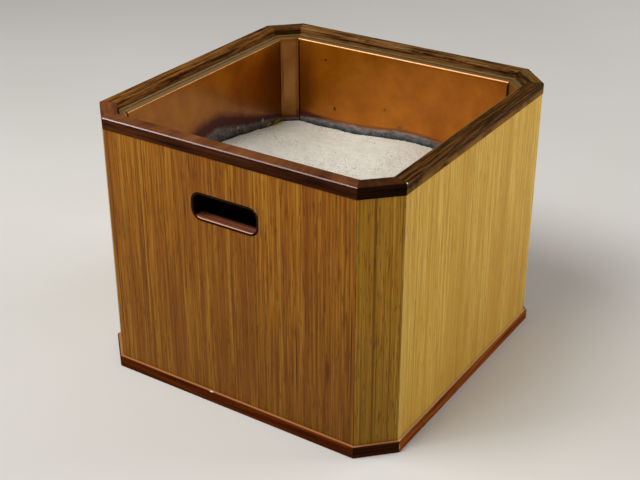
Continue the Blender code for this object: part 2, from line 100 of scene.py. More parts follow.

# Where stains, painted shade and painted highlights begin and are full: heights, and for the grips also
# distances from the middle of the box
VENEER_FOOT_SHADE = (0.33, 0.04)          # painted shade: the veneer darkens downwards
BASE_LEDGE_RUBBED_AND_LIT = (0.0146, 0.0149)      # base frame's ledge is rubbed, and painted pale as a highlight
GRIP_SHADE = (0.2512, 0.2532)       # painted shade on the grip's lining above its ledge
GRIP_BACK_SHADE = (0.1960, 0.1930)        # and painted shade behind it
GRIP_LIP_HIGHLIGHT = (0.2080, 0.2084)         # a painted highlight on its rounded front edge
GRIP_LIP_LOW = (0.2510, 0.2505)     # at the foot
GRIP_RING = (0.2095, 0.2098)        # its front edge is red-black

# Copper liner
SHEET = 0.001
LINER_INSET = wall_high.y + HALF_WIDTH  # depth of the walls' inner faces
LINER_WALL = HALF_WIDTH - LINER_INSET   # and their distance from the middle of the box
LINER_UNDERSIDE = wall_low.z
FLANGE_TOP = ledger_high.z + FIT_GAP + SHEET
FLANGE_WIDTH = 0.011        # walls' inner faces to the outside of the rolled edge
FOLD_RADIUS = 0.0027        # shown side of the bend between wall and flange
FOLD_FACETS = 8
FOLD_SLANT = 0.3            # least product of the normal's y and z on the bend
ROLL_RADIUS = 0.0006        # inside of the edge that is rolled up from the flange
ROLL_DEPTH = LINER_INSET - FLANGE_WIDTH + SHEET + ROLL_RADIUS   # depth of the rolled edge's middle
ROLL_END = ROLL_DEPTH + 2 * ROLL_RADIUS                         # and of where it gives way to the flange
ROLL_TURN = -270            # degrees
ROLL_FACETS = 14
LAP_STEP = SHEET + FIT_GAP  # corner strips behind the walls
LAP_WIDTH = 0.008           # their tabs
LAP_MARGIN = 0.001          # tabs short of the foot and of the bend
LAP_LOW = LINER_UNDERSIDE + LAP_MARGIN
LAP_HIGH = FLANGE_TOP - FOLD_RADIUS - LAP_MARGIN
SHEET_CELL = 0.003
SWAY = 0.0006               # how far the thin sheet is out of flat
SWAY_SPACING = 0.085
SWAY_TOP = 0.320            # the fold above keeps the sheet flat
SWAY_FADE = 0.050
OUTER_SLANT = -0.5          # most of the normal's y or z on the sheet's outer face

# Stains on the liner over the ash
RESIDUE_EDGE = 0.004        # height of the grey residue at the ends of a wall
RESIDUE_SWELL = 0.0075      # and how much more along the wall
SWELL_POWER = 6             # how late the swell ends
BANK_RESIDUE = 0.009        # still more over the banked ash on the left
BANK_POWER = 4              # how close it keeps to the top of the bank
SCORCH = 0.004              # dark red stain over the residue
BANK_SCORCH = 0.016         # more of it on the left
STRIP_DUST = 0.4            # dust on the corner strips, as a share of the walls'
COPPER_METALLIC = 0.48      # the lacquer and the browning hide the rest of the metal

# Ash
ASH_BED = 0.2056            # height of the level bed
ASH_BANK = 0.022            # banked up against the left wall
ASH_BANK_REACH = 0.079
ASH_HEAP = 0.016            # low heap towards the back
ASH_HEAP_REACH = 0.048
ASH_HEAP_PLACE = (0.028, 0.136)
ASH_TOP_INSET = 0.0323      # depth of the bed's edge beside the walls
ASH_LOW_INSET = HALF_WIDTH - bed_high.x     # and beside the pan's upstand
ASH_SHELF = 0.1447          # just over the upstand
ASH_FLOOR = bed_low.z
ASH_CELLS = 220
ASH_RELIEF = ((0.0011, 0.028), (0.0005, 0.009), (0.0003, 0.0032))   # heights and spacings
CRUMB_WIDTHS = (0.60, 0.95)     # least and most, as shares of a crumb's length
CRUMB_HEIGHTS = (0.50, 0.80)

# Meshes
SAME_PLACE = 1e-7           # points closer than this are one point to a cut
SHARP_DEGREES = 35          # creases sharper than this stay crisp

# Marks: place, reach along x, y and z, and colour
# Painted shade at the back left corner, on the back and the left wall, then a scorch stain in that corner
COPPER_SHADE_AND_SCORCH = (
    ((-0.168, LINER_WALL, 0.2700), (0.0550, 0.004, 0.0900), "#82460A"),
    ((-LINER_WALL, 0.150, 0.2700), (0.004, 0.0600, 0.0600), "#824A0A"),
    ((-0.150, LINER_WALL, 0.2185), (0.0560, 0.004, 0.0090), "#5E2A1C"),
)
COPPER_MARKS = (
    ((-0.115, LINER_WALL, 0.3075), (0.0032, 0.006, 0.0022), "#4A2208"),
    ((-0.100, LINER_WALL, 0.2380), (0.0028, 0.006, 0.0042), "#3A1C08"),
    ((-0.019, LINER_WALL, 0.2540), (0.0022, 0.006, 0.0030), "#74400E"),
    ((0.005, LINER_WALL, 0.2330), (0.0050, 0.006, 0.0036), "#6E5A30"),
    ((-LINER_WALL, 0.138, 0.2130), (0.006, 0.0300, 0.0052), "#3E3A20"),
    ((-LINER_WALL, 0.150, 0.2120), (0.006, 0.0150, 0.0030), "#A0922C"),
    ((-LINER_WALL, 0.129, 0.2142), (0.006, 0.0080, 0.0030), "#A89A2C"),
    ((-LINER_WALL, 0.024, 0.2365), (0.006, 0.0018, 0.0034), "#8E8A82"),
    ((-LINER_WALL, 0.041, 0.2375), (0.006, 0.0016, 0.0040), "#96928A"),
    ((-LINER_WALL, 0.056, 0.2345), (0.006, 0.0034, 0.0030), "#B4AEA4"),
    ((-LINER_WALL, 0.070, 0.2310), (0.006, 0.0016, 0.0028), "#8E8A82"),
    ((-LINER_WALL, 0.114, 0.2255), (0.006, 0.0026, 0.0036), "#C8C0B4"),
)
ASH_MARKS = (((-0.176, 0.146, 0.2098), (0.006, 0.0200, 0.0050), "#BEB46A"),)
FRONT_MARKS = (
    ((0.1375, -HALF_WIDTH, 0.104), (0.0042, 0.010, 0.0240), "#6E3E12"),
    ((0.0955, -HALF_WIDTH, 0.105), (0.0012, 0.010, 0.0950), "#54300E"),
    ((0.1685, -HALF_WIDTH, 0.130), (0.0013, 0.010, 0.0900), "#4A2A0C"),
)
# a pale strip beside the front right stile, then a painted highlight along the back edge of the right panel
SIDE_MARKS_AND_HIGHLIGHT = (
    ((HALF_WIDTH, -0.172, 0.170), (0.010, 0.0120, 0.4000), "#CCA954"),
    ((HALF_WIDTH, 0.173, 0.170), (0.010, 0.0018, 0.4000), "#E6CC8E"),
)
# painted glint on the rim's top at its front right corner
RAIL_GLINT = (((HALF_WIDTH, -0.1718, 0.3415), (0.0014, 0.0014, 0.0014), "#F2EAE2"),)
BASE_MARKS = (
    ((-0.029, -0.2130, 0.0150), (0.0045, 0.002, 0.0010), "#F0DEC4"),
    ((0.214, -0.1747, 0.0080), (0.0012, 0.0012, 0.0070), "#C09468"),
)

# Dark, middle and pale streaks of the veneers, then their pores and their broad bands
FRONT_VENEER = ("#824B11", "#A86917", "#C2882A", "#54300C", "#864612")
SIDE_VENEER = ("#B6872C", "#CCA23E", "#DEBB5E", "#966E24", "#BE8E2A")
CORNER_VENEER = ("#AC7319", "#D0952A", "#E4B14A", "#54390F", "#B2781A")
FRONT_FOOT_SHADE = (0.24, 0.54)     # how dark the painted shade at the foot is, at the left and at the right
PLAIN_FOOT_SHADE = (0.42, 0.42)
PLAIN_LINES = 0.62          # noise from which a dark line shows: lower gives more lines
CORNER_LINES = 0.54

# Dark, middle, pale and rubbed colours of each rim piece, the rubbed one also laid as painted sheen on top,
# how sharp its streaks are, and how wide
RIM_WOODS = {
    "front": ("#241008", "#40200E", "#5A3018", "#86522E", 0.15, 0.0040),
    "right": ("#1E1004", "#3E240C", "#5E3E18", "#7C5624", 0.07, 0.0022),
    "back": ("#200E04", "#563412", "#845C2E", "#946A3C", 0.07, 0.0028),
    "left": ("#280E04", "#5A3410", "#845420", "#8A6430", 0.07, 0.0024),
    "front_right": ("#140A04", "#24120A", "#361C0E", "#583016", 0.14, 0.0050),
    "back_right": ("#120802", "#38200A", "#6A4A20", "#8A6A3C", 0.05, 0.0040),
    "back_left": ("#180C04", "#40240E", "#66421C", "#805C30", 0.07, 0.0028),
    "front_left": ("#34160A", "#542C16", "#704224", "#86582E", 0.10, 0.0040),
}
# Wear of each rim piece: on top (on the front pieces partly painted sheen), on the edges, low outside and
# low inside
RIM_WEAR = {
    "front": (0.6, 0.0, 0.0, 0.2),
    "right": (0.05, 0.2, 0.7, 0.2),
    "back": (0.05, 0.9, 0.0, 0.6),
    "left": (0.05, 0.4, 0.0, 0.4),
    "front_right": (0.6, 0.1, 0.0, 0.2),
    "back_right": (0.05, 0.3, 0.0, 0.3),
    "back_left": (0.05, 0.4, 0.0, 0.4),
    "front_left": (0.15, 0.3, 0.0, 0.2),
}
# The same four colours of the base and of the plates behind the grips, and their streaks
# The base's fourth colour is its rubbed ledge with a painted highlight, palest on the right
BASE_RAIL_WOOD = ("#381402", "#542204", "#6C3008", "#B2794B")
BASE_RIGHT_WOOD = ("#4A1E06", "#7A3A0C", "#94501A", "#D8B27C")
BASE_CORNER_WOOD = ("#200C02", "#341604", "#48220A", "#B2794B")
# the plates behind the grips are near-black: painted shade in the recesses
BACKING_SHADE_WOOD = ("#080302", "#100704", "#1C0E08", "#3A2010")
SOFT_SPREAD = 0.14
WIDE_STREAK = 0.005

# Dark, pale and middle clouds of the copper, as stops of a ramp
WALL_COPPER = [(0.3, "#A0580A"), (0.7, "#C07419"), (0.5, "#B0650F")]
# the left wall's copper is darker: painted shade
LEFT_COPPER_SHADED = [(0.3, "#8A4E0A"), (0.7, "#AA6C18"), (0.5, "#9A5C0E")]
STRIP_COPPER = [(0.3, "#845214"), (0.7, "#A67230"), (0.5, "#966222")]

# Specks in the ash: spacing, radius and colour
ASH_SPECKS = (
    (0.0085, 0.0011, "#7E6654"),
    (0.0053, 0.0011, "#BC9A88"),
    (0.0037, 0.0009, "#A88874"),
    (0.0026, 0.0007, "#B8A08E"),
)

# Stage: each lamp's place, aim, sizes across and along, and watts
LAMPS = {
    "right_lamp": ((2.52, 2.78, 1.00), (0, 0, 0.20), (2.6, 1.4), 110),
    "left_strip": ((-1.30, -1.15, 2.00), (0, 0, 0.30), (1.2, 0.6), 20),
    "top_softbox": ((-0.40, -0.90, 2.20), (0, 0, 0.25), (1.0, 1.0), 30),
}
SURROUNDINGS = 0.18         # strength of the even light
FLOOR_REACH = 9
CAMERA_PLACE = (0.74184, -1.15507, 0.86942)
CAMERA_DIRECTION = (-0.48239, 0.74503, -0.46068)
CAMERA_LENS = 67.53         # millimetres, on a sensor this wide
CAMERA_SENSOR = 36
CAMERA_SHIFT = (-0.0027, -0.0205)


def ash_height(x, y):
    """Height of the raked ash, without its relief."""
    bank = math.exp(-((x + LINER_WALL) ** 2 + y ** 2) / (2 * ASH_BANK_REACH ** 2))
    heap_x = x - ASH_HEAP_PLACE[0]
    heap_y = y - ASH_HEAP_PLACE[1]
    heap = math.exp(-(heap_x ** 2 + heap_y ** 2) / (2 * ASH_HEAP_REACH ** 2))
    return ASH_BED + ASH_BANK * bank + ASH_HEAP * heap


def ash_surface(x, y):
    """Height of the ash with its hollows, ripples and grain."""
    height = ash_height(x, y)
    for relief, spacing in ASH_RELIEF:
        height += relief * noise.noise(Vector((x / spacing, y / spacing, spacing)))
    return height


def limited(value):
    """Value kept between 0 and 1."""
    return max(0.0, min(1.0, value))


def linear(colour):
    """Linear colour of an sRGB hex value."""
    channels = [int(colour[i:i + 2], 16) / 255 for i in (1, 3, 5)]
    return [c / 12.92 if c <= 0.04045 else ((c + 0.055) / 1.055) ** 2.4 for c in channels] + [1.0]


def wire(tree, node, sockets):
    """Set or link a node's inputs, by name or by number."""
    for key, value in sockets.items():
        if isinstance(key, int):
            socket = node.inputs[key]
        else:
            socket = next(s for s in node.inputs if s.enabled and s.name == key)
        if isinstance(value, bpy.types.NodeSocket):
            tree.links.new(value, socket)
        else:
            socket.default_value = value


def add_node(tree, kind, sockets=None, output=None, stops=(), **settings):
    """Add a node with its settings, inputs and ramp colours, and give back one of its outputs."""
    node = tree.nodes.new("ShaderNode" + kind)
    for key, value in settings.items():
        setattr(node, key, value)
    wire(tree, node, sockets or {})
    for i, (position, colour) in enumerate(stops):
        element = node.color_ramp.elements[i] if i < 2 else node.color_ramp.elements.new(position)
        element.position = position
        element.color = linear(colour)
    return next(s for s in node.outputs if s.enabled and output in (None, s.name))


def new_material(name, **shader_values):
    """Empty material, its node tree and its shader, with the values that are the same all over it."""
    material = bpy.data.materials.new(name)
    material.use_nodes = True
    tree = material.node_tree
    shader = tree.nodes["Principled BSDF"]
    wire(tree, shader, {key.replace("_", " "): value for key, value in shader_values.items()})
    return material, tree, shader


def mottle(tree, size, turn=0, **noise_values):
    """Noise whose cells have the given sizes along x, y and z, in metres, in a frame turned about z."""
    place = add_node(tree, "TexCoord", output="Object")
    drawn = add_node(tree, "Mapping", {
        "Vector": place,
        "Rotation": (0, 0, math.radians(turn)),
        "Scale": size,
    }, vector_type="TEXTURE")
    return add_node(tree, "TexNoise", {"Vector": drawn, "Scale": 1.0, **noise_values}, output="Fac")


def flecks(tree, spacing, radius):
    """Mask of small round flecks, one in each cell of the spacing, in metres."""
    place = add_node(tree, "TexCoord", output="Object")
    reach = add_node(tree, "TexVoronoi", {"Vector": place, "Scale": 1 / spacing}, output="Distance")
    edge = radius / spacing
    return add_node(tree, "MapRange", {"Value": reach, "From Min": edge, "From Max": edge / 2})


def rise(tree, axis, span, low=0.0, high=1.0):
    """Value that goes from low to high over a span of the x, y or z axis, in metres."""
    place = add_node(tree, "TexCoord", output="Object")
    along = add_node(tree, "SeparateXYZ", {"Vector": place}, output=axis)
    return add_node(tree, "MapRange", {
        "Value": along, "From Min": span[0], "From Max": span[1], "To Min": low, "To Max": high,
    })


def add_marks(tree, colour, marks):
    """Lay ragged marks over a colour, each round its place and out to its reach, in metres."""
    for spot, reach, stain in marks:
        place = add_node(tree, "TexCoord", output="Object")
        away = add_node(tree, "Mapping", {
            "Vector": place, "Location": spot, "Scale": reach,
        }, vector_type="TEXTURE")
        distance = add_node(tree, "VectorMath", {0: away}, output="Value", operation="LENGTH")
        ragged = add_node(tree, "TexNoise", {"Vector": away, "Scale": 1.6, "Detail": 3.0}, output="Fac")
        edge = add_node(tree, "Math", {0: distance, 1: ragged}, operation="ADD")
        mask = add_node(tree, "MapRange", {"Value": edge, "From Min": 1.4, "From Max": 0.9})
        colour = add_node(tree, "Mix", {"Factor": mask, "A": colour, "B": linear(stain)}, data_type="RGBA")
    return colour


def quartered_veneer(name, colours, marks=(), foot_shade=PLAIN_FOOT_SHADE, line_level=PLAIN_LINES):
    """Quarter-cut veneer, oiled: straight streaks up the board, dark lines and pores, a low sheen, and
    painted shade towards the foot.

    Fibres and pores are really 0.1 to 0.3 mm wide. They are drawn 1 to 2 mm wide, so that they show.
    """
    dark, middle, pale, pore, band = colours
    material, tree, shader = new_material(name, Specular_IOR_Level=0.1)
    figure = mottle(tree, (0.0052, 0.0052, 0.900), Detail=3.0, Roughness=0.6)
    fibre = mottle(tree, (0.0018, 0.0018, 0.100), Detail=2.0, Roughness=0.6)
    bands = mottle(tree, (0.030, 0.030, 0.400), Detail=1.0)
    pores = mottle(tree, (0.0013, 0.0013, 0.020), Detail=1.0)
    lines = mottle(tree, (0.0024, 0.0024, 0.800), Detail=1.0)
    streaks = add_node(tree, "Mix", {"Factor": 0.62, "A": figure, "B": fibre})
    stops = [(0.37, dark), (0.63, pale), (0.5, middle)]
    colour = add_node(tree, "ValToRGB", {"Fac": streaks}, stops=stops)
    colour = add_marks(tree, colour, marks)
    layers = (
        (bands, 0.42, 0.62, 0.5, band),
        (pores, 0.58, 0.70, 0.6, pore),
        (lines, line_level, line_level + 0.1, 0.6, pore),
    )
    for pattern, start, end, share, stain in layers:
        mask = add_node(tree, "MapRange", {
            "Value": pattern, "From Min": start, "From Max": end, "To Max": share,
        })
        colour = add_node(tree, "Mix", {"Factor": mask, "A": colour, "B": linear(stain)}, data_type="RGBA")
    # Painted shade: darker towards the foot, and on the front more so to the right
    low = rise(tree, "Z", VENEER_FOOT_SHADE)
    share = rise(tree, "X", FRONT_SPAN, *foot_shade)
    foot = add_node(tree, "Math", {0: low, 1: share}, operation="MULTIPLY")
    colour = add_node(tree, "Mix", {"Factor": foot, "A": colour, "B": linear(pore)}, data_type="RGBA")
    roughness = add_node(tree, "MapRange", {"Value": streaks, "To Min": 0.38, "To Max": 0.60})
    normal = add_node(tree, "Bump", {"Height": streaks, "Distance": 0.0002, "Strength": 0.4})
    wire(tree, shader, {"Base Color": colour, "Roughness": roughness, "Normal": normal})
    return material


def rosewood(name, turn, colours, spread, streak, marks=(), rubbed_and_lit=None):
    """Oiled rosewood along one side of the octagon: dark bands in red-brown, paler where it is rubbed and
    where a painted highlight or sheen is laid.

    It is paler between two heights, a rubbed ledge with a painted highlight, or else by its attribute of
    wear and painted sheen.
    Its pores are really 0.2 mm wide. They are drawn 1 mm wide, so that they show.
    """
    dark, middle, pale, worn_and_lit = colours
    material, tree, shader = new_material(name, Specular_IOR_Level=0.015)
    bands = mottle(tree, (24 * streak, streak, streak), turn, Detail=5.0, Roughness=0.68)
    pores = mottle(tree, (0.016, 0.0010, 0.0010), turn, Detail=1.0)
    stops = [(0.5 - spread, dark), (0.5 + spread, pale), (0.5, middle)]
    colour = add_node(tree, "ValToRGB", {"Fac": bands}, stops=stops)
    open_pores = add_node(tree, "MapRange", {
        "Value": pores, "From Min": 0.6, "From Max": 0.7, "To Max": 0.5,
    })
    # between two heights: a rubbed ledge with a painted highlight; else the mesh's wear and painted sheen
    if rubbed_and_lit:
        wear_and_sheen = rise(tree, "Z", rubbed_and_lit, high=0.9)
    else:
        wear_and_sheen = add_node(tree, "Attribute", output="Fac", attribute_name="wear_and_sheen")
    for mask, stain in ((open_pores, dark), (wear_and_sheen, worn_and_lit)):
        colour = add_node(tree, "Mix", {"Factor": mask, "A": colour, "B": linear(stain)}, data_type="RGBA")
    colour = add_marks(tree, colour, marks)
    roughness = add_node(tree, "MapRange", {"Value": bands, "To Min": 0.45, "To Max": 0.70})
    normal = add_node(tree, "Bump", {"Height": bands, "Distance": 0.00025, "Strength": 0.3})
    wire(tree, shader, {"Base Color": colour, "Roughness": roughness, "Normal": normal})
    return material


def waxed_arris():
    """Edge of the front rail, polished by hands: one bright line in the light, duller to the right."""
    material, tree, shader = new_material(
        "rosewood_waxed_arris", Specular_IOR_Level=0.8, Coat_Weight=0.3, Coat_Roughness=0.15)
    scuffs = mottle(tree, (0.012, 0.004, 0.004), Detail=3.0)
    colour = add_node(tree, "ValToRGB", {"Fac": scuffs}, stops=[(0.35, "#5A2C1C"), (0.65, "#8A5440")])
    duller = rise(tree, "X", FRONT_SPAN, 0.14, 0.80)
    roughness = add_node(tree, "Math", {0: scuffs, 1: 0.2, 2: duller}, operation="MULTIPLY_ADD")
    wire(tree, shader, {"Base Color": colour, "Roughness": roughness})
    return material


def waxed_grip():
    """Waxed rosewood of the grips: a reddish ledge with a painted highlight on its front edge, painted
    shade above and behind it, and a red-black front edge.
    """
    material, tree, shader = new_material("rosewood_waxed_grip", Specular_IOR_Level=0.04)
    bands = mottle(tree, (0.060, 0.0040, 0.0040), Detail=4.0, Roughness=0.6)
    stops = [(0.36, "#5A2C1A"), (0.64, "#8C563C"), (0.5, "#74402A")]
    colour = add_node(tree, "ValToRGB", {"Fac": bands}, stops=stops)
    place = add_node(tree, "TexCoord", output="Object")
    across = add_node(tree, "SeparateXYZ", {"Vector": place}, output="Y")
    outwards = add_node(tree, "Math", {0: across}, operation="ABSOLUTE")
    shade_behind, lip, ring = [
        add_node(tree, "MapRange", {"Value": outwards, "From Min": start, "From Max": end})
        for start, end in (GRIP_BACK_SHADE, GRIP_LIP_HIGHLIGHT, GRIP_RING)
    ]
    # Painted shade above the ledge and behind it, and a painted highlight along the lip at the foot
    shade_above = rise(tree, "Z", GRIP_SHADE)
    low = rise(tree, "Z", GRIP_LIP_LOW)
    rubbed_and_lit = add_node(tree, "Math", {0: lip, 1: low}, operation="MULTIPLY")
    for mask, stain in ((shade_above, "#120604"), (shade_behind, "#100604"), (rubbed_and_lit, "#DCA68C"), (ring, "#26100A")):
        colour = add_node(tree, "Mix", {"Factor": mask, "A": colour, "B": linear(stain)}, data_type="RGBA")
    roughness = add_node(tree, "MapRange", {"Value": bands, "To Min": 0.2, "To Max": 0.4})
    wire(tree, shader, {"Base Color": colour, "Roughness": roughness})
    return material


def planed_softwood(name, turn, upright=False):
    """Planed softwood, unfinished: pale, with wide soft rings along the board."""
    material, tree, shader = new_material(name, Specular_IOR_Level=0.3)
    size = (0.009, 0.009, 0.400) if upright else (0.400, 0.009, 0.009)
    rings = mottle(tree, size, turn, Detail=4.0, Roughness=0.6)
    stops = [(0.38, "#9C7440"), (0.66, "#D2B280"), (0.52, "#C09A64")]
    colour = add_node(tree, "ValToRGB", {"Fac": rings}, stops=stops)
    roughness = add_node(tree, "MapRange", {"Value": rings, "To Min": 0.5, "To Max": 0.8})
    normal = add_node(tree, "Bump", {"Height": rings, "Distance": 0.0003, "Strength": 0.4})
    wire(tree, shader, {"Base Color": colour, "Roughness": roughness, "Normal": normal})
    return material


def zinc_steel():
    """Zinc-plated steel screws: dull grey metal, clouded by handling."""
    material, tree, shader = new_material("zinc_plated_steel", Metallic=1.0)
    cloud = mottle(tree, (0.0016, 0.0016, 0.0016), Detail=3.0)
    colour = add_node(tree, "ValToRGB", {"Fac": cloud}, stops=[(0.3, "#77776F"), (0.7, "#A6A69E")])
    roughness = add_node(tree, "MapRange", {"Value": cloud, "To Min": 0.25, "To Max": 0.5})
    wire(tree, shader, {"Base Color": colour, "Roughness": roughness})
    return material


def burnished_highlit_copper():
    """Fold of the liner's front and back, rubbed bright by hands and coloured paler, partly as a painted
    highlight: a thin pale line, duller to the right.
    """
    material, tree, shader = new_material("burnished_highlit_copper", Metallic=0.7)
    scuffs = mottle(tree, (0.010, 0.010, 0.010), Detail=3.0)
    colour = add_node(tree, "ValToRGB", {"Fac": scuffs}, stops=[(0.3, "#B87C4C"), (0.7, "#D4A070")])
    duller = rise(tree, "X", FRONT_SPAN, 0.16, 0.44)
    roughness = add_node(tree, "Math", {0: scuffs, 1: 0.1, 2: duller}, operation="MULTIPLY_ADD")
    wire(tree, shader, {"Base Color": colour, "Roughness": roughness})
    return material


def stain_masks(tree, scorched):
    """Where residue, scorch, dust, and grime with painted shade lie on a liner sheet, from the attributes
    of its mesh.
    """
    masks = {}
    uneven = mottle(tree, (0.012, 0.012, 0.012), Detail=4.0)
    ragged = add_node(tree, "MapRange", {"Value": uneven, "To Min": -0.3, "To Max": 0.3})
    for stain, softness, share in (("residue", 0.2, 1.0), ("scorch", 0.35, scorched)):
        height = add_node(tree, "Attribute", output="Fac", attribute_name=stain)
        level = add_node(tree, "Math", {0: height, 1: ragged}, operation="ADD")
        masks[stain] = add_node(tree, "MapRange", {
            "Value": level, "From Min": 1 + softness, "From Max": 1 - softness, "To Max": share,
        })
    for stain in ("dust", "grime_and_seam_shade"):
        amount = add_node(tree, "Attribute", output="Fac", attribute_name=stain)
        masks[stain] = add_node(tree, "MapRange", {
            "Value": amount, "From Min": 0.3, "From Max": 0.6, "To Max": 0.9,
        })
    return masks


def residue_crust(tree, fringed):
    """Colour of the grey crust over the ash: caked and smeared, with a torn fringe, and painted shade along
    its foot where it meets the ash.
    """
    caked = mottle(tree, (0.007, 0.007, 0.005), Detail=3.0)
    crust = add_node(tree, "ValToRGB", {"Fac": caked}, stops=[(0.38, "#414547"), (0.64, "#6B6F70")])
    smears = mottle(tree, (0.0035, 0.0035, 0.006), Detail=2.0)
    smeared = add_node(tree, "MapRange", {
        "Value": smears, "From Min": 0.62, "From Max": 0.72, "To Max": 0.7,
    })
    height = add_node(tree, "Attribute", output="Fac", attribute_name="residue")
    upper = add_node(tree, "MapRange", {
        "Value": height, "From Min": 0.5, "From Max": 0.9, "To Max": fringed,
    })
    tears = mottle(tree, (0.016, 0.016, 0.0030), Detail=2.0)
    torn = add_node(tree, "MapRange", {
        "Value": tears, "From Min": 0.40, "From Max": 0.58, "To Min": 0.15,
    })
    fringe = add_node(tree, "Math", {0: upper, 1: torn}, operation="MULTIPLY")
    # painted shade along the foot of the crust, where it meets the ash
    ash_contact_shade = add_node(tree, "MapRange", {
        "Value": height, "From Min": 0.4, "From Max": 0.1, "To Max": 0.6,
    })
    for mask, stain in ((smeared, "#A8A094"), (fringe, "#A48F88"), (ash_contact_shade, "#1E2022")):
        crust = add_node(tree, "Mix", {"Factor": mask, "A": crust, "B": linear(stain)}, data_type="RGBA")
    return crust


def aged_copper(name, stops, stained=True, fringed=0.0, scorched=1.0):
    """Old sheet copper, browned by heat under thin lacquer: clouds, soft reflections, spots and stains."""
    material, tree, shader = new_material(
        name, Specular_IOR_Level=0.2, Coat_Weight=0.17, Coat_Roughness=0.1)
    cloud = mottle(tree, (0.045, 0.045, 0.045), Detail=4.0, Roughness=0.6)
    colour = add_node(tree, "ValToRGB", {"Fac": cloud}, stops=stops)
    roughness = add_node(tree, "MapRange", {"Value": cloud, "To Min": 0.18, "To Max": 0.30})
    metallic = COPPER_METALLIC
    if stained:
        # painted shade at the back left corner and a scorch stain, under the other stains
        colour = add_marks(tree, colour, COPPER_SHADE_AND_SCORCH)
        masks = stain_masks(tree, scorched)
        tints = {
            "scorch": linear("#4E160A"),
            "residue": residue_crust(tree, fringed),
            "dust": linear("#6A542C"),
            # grime and painted shade along the seams
            "grime_and_seam_shade": linear("#1E0E06"),
        }
        for stain, tint in tints.items():
            colour = add_node(tree, "Mix", {
                "Factor": masks[stain], "A": colour, "B": tint,
            }, data_type="RGBA")
        colour = add_marks(tree, colour, COPPER_MARKS)
        dull = add_node(tree, "Math", {0: masks["residue"], 1: masks["dust"]}, operation="MAXIMUM")
        dull = add_node(tree, "Math", {0: masks["scorch"], 1: dull}, operation="MAXIMUM")
        metallic = add_node(tree, "MapRange", {"Value": dull, "To Min": COPPER_METALLIC, "To Max": 0.0})
        roughness = add_node(tree, "Mix", {"Factor": dull, "A": roughness, "B": 0.75})
    dents = mottle(tree, (0.018, 0.018, 0.018), Detail=2.0)
    normal = add_node(tree, "Bump", {"Height": dents, "Distance": 0.0006, "Strength": 0.25})
    wire(tree, shader, {
        "Base Color": colour, "Metallic": metallic, "Roughness": roughness, "Normal": normal,
    })
    return material


def wood_ash():
    """Sifted wood ash: matt, pale warm grey, specked with charcoal and burnt clay, duller to the right.

    Its grains and specks are really under 0.5 mm. They are drawn 1 to 2 mm across, so that they show.
    """
    material, tree, shader = new_material("sifted_wood_ash", Roughness=0.95, Specular_IOR_Level=0.1)
    cloud = mottle(tree, (0.030, 0.030, 0.030), Detail=7.0, Roughness=0.85)
    stops = [(0.32, "#D6D3C5"), (0.68, "#E8E7DA"), (0.5, "#E0DED0")]
    colour = add_node(tree, "ValToRGB", {"Fac": cloud}, stops=stops)
    strewn = mottle(tree, (0.060, 0.060, 0.060), Detail=2.0)
    thick = add_node(tree, "MapRange", {
        "Value": strewn, "From Min": 0.40, "From Max": 0.62, "To Min": 0.3,
    })
    for spacing, radius, speck in ASH_SPECKS:
        mask = add_node(tree, "Math", {0: flecks(tree, spacing, radius), 1: thick}, operation="MULTIPLY")
        colour = add_node(tree, "Mix", {"Factor": mask, "A": colour, "B": linear(speck)}, data_type="RGBA")
    colour = add_marks(tree, colour, ASH_MARKS)
    # darker towards the right
    darker_rightwards = rise(tree, "X", (0, HALF_WIDTH), high=0.7)
    colour = add_node(tree, "Mix", {"Factor": darker_rightwards, "A": colour, "B": linear("#BDB4A2")}, data_type="RGBA")
    grain = mottle(tree, (0.0022, 0.0022, 0.0022), Detail=3.0)
    normal = add_node(tree, "Bump", {"Height": grain, "Distance": 0.0014, "Strength": 0.6})
    wire(tree, shader, {"Base Color": colour, "Normal": normal})
    return material


def charcoal():
    """Charcoal crumbs: dull black-grey."""
    material, tree, shader = new_material("charcoal_crumbs", Roughness=0.85)
    cloud = mottle(tree, (0.0012, 0.0012, 0.0012), Detail=2.0)
    colour = add_node(tree, "ValToRGB", {"Fac": cloud}, stops=[(0.35, "#2A2622"), (0.65, "#6A625A")])
    wire(tree, shader, {"Base Color": colour})
    return material


def painted_floor():
    """Floor of the stage, painted matt: pale warm grey, with faint wide clouds."""
    material, tree, shader = new_material("pale_floor", Roughness=0.8)
    cloud = mottle(tree, (0.4, 0.4, 0.4), Detail=2.0)
    colour = add_node(tree, "ValToRGB", {"Fac": cloud}, stops=[(0.3, "#DCD9D3"), (0.7, "#E0DDD8")])
    wire(tree, shader, {"Base Color": colour})
    return material


def side_place(turn, distance):
    """Matrix of a side of the octagon, from its side frame."""
    return Matrix.Rotation(math.radians(turn), 4, "Z") @ Matrix.Translation((0, -distance, 0))


def made_verts(result):
    """Vertices among what an operator made."""
    return [item for item in result["geom"] if isinstance(item, bmesh.types.BMVert)]


def long_edges(bm):
    """Edges that run the whole length of a rail which is still from -1 to 1 along x."""
    return [edge for edge in bm.edges if abs(edge.verts[0].co.x - edge.verts[1].co.x) > 1]


def draw_out(bm, half_length, cell):
    """Cut a rail across into cells, and bring it to its length with mitred ends."""
    cuts = int(2 * half_length / cell)
    bmesh.ops.subdivide_edges(bm, edges=long_edges(bm), cuts=cuts, use_grid_fill=True)
    for vert in bm.verts:
        vert.co.x *= half_length - MITRE_SETBACK - MITRE_SLOPE * vert.co.y


def cut_through(bm, spot, normal, clear_outer=False):
    """Cut a mesh by a plane, and drop what is outside it if that is asked for."""
    geometry = bm.verts[:] + bm.edges[:] + bm.faces[:]
    bmesh.ops.bisect_plane(
        bm, geom=geometry, dist=SAME_PLACE, plane_co=spot, plane_no=normal, clear_outer=clear_outer)


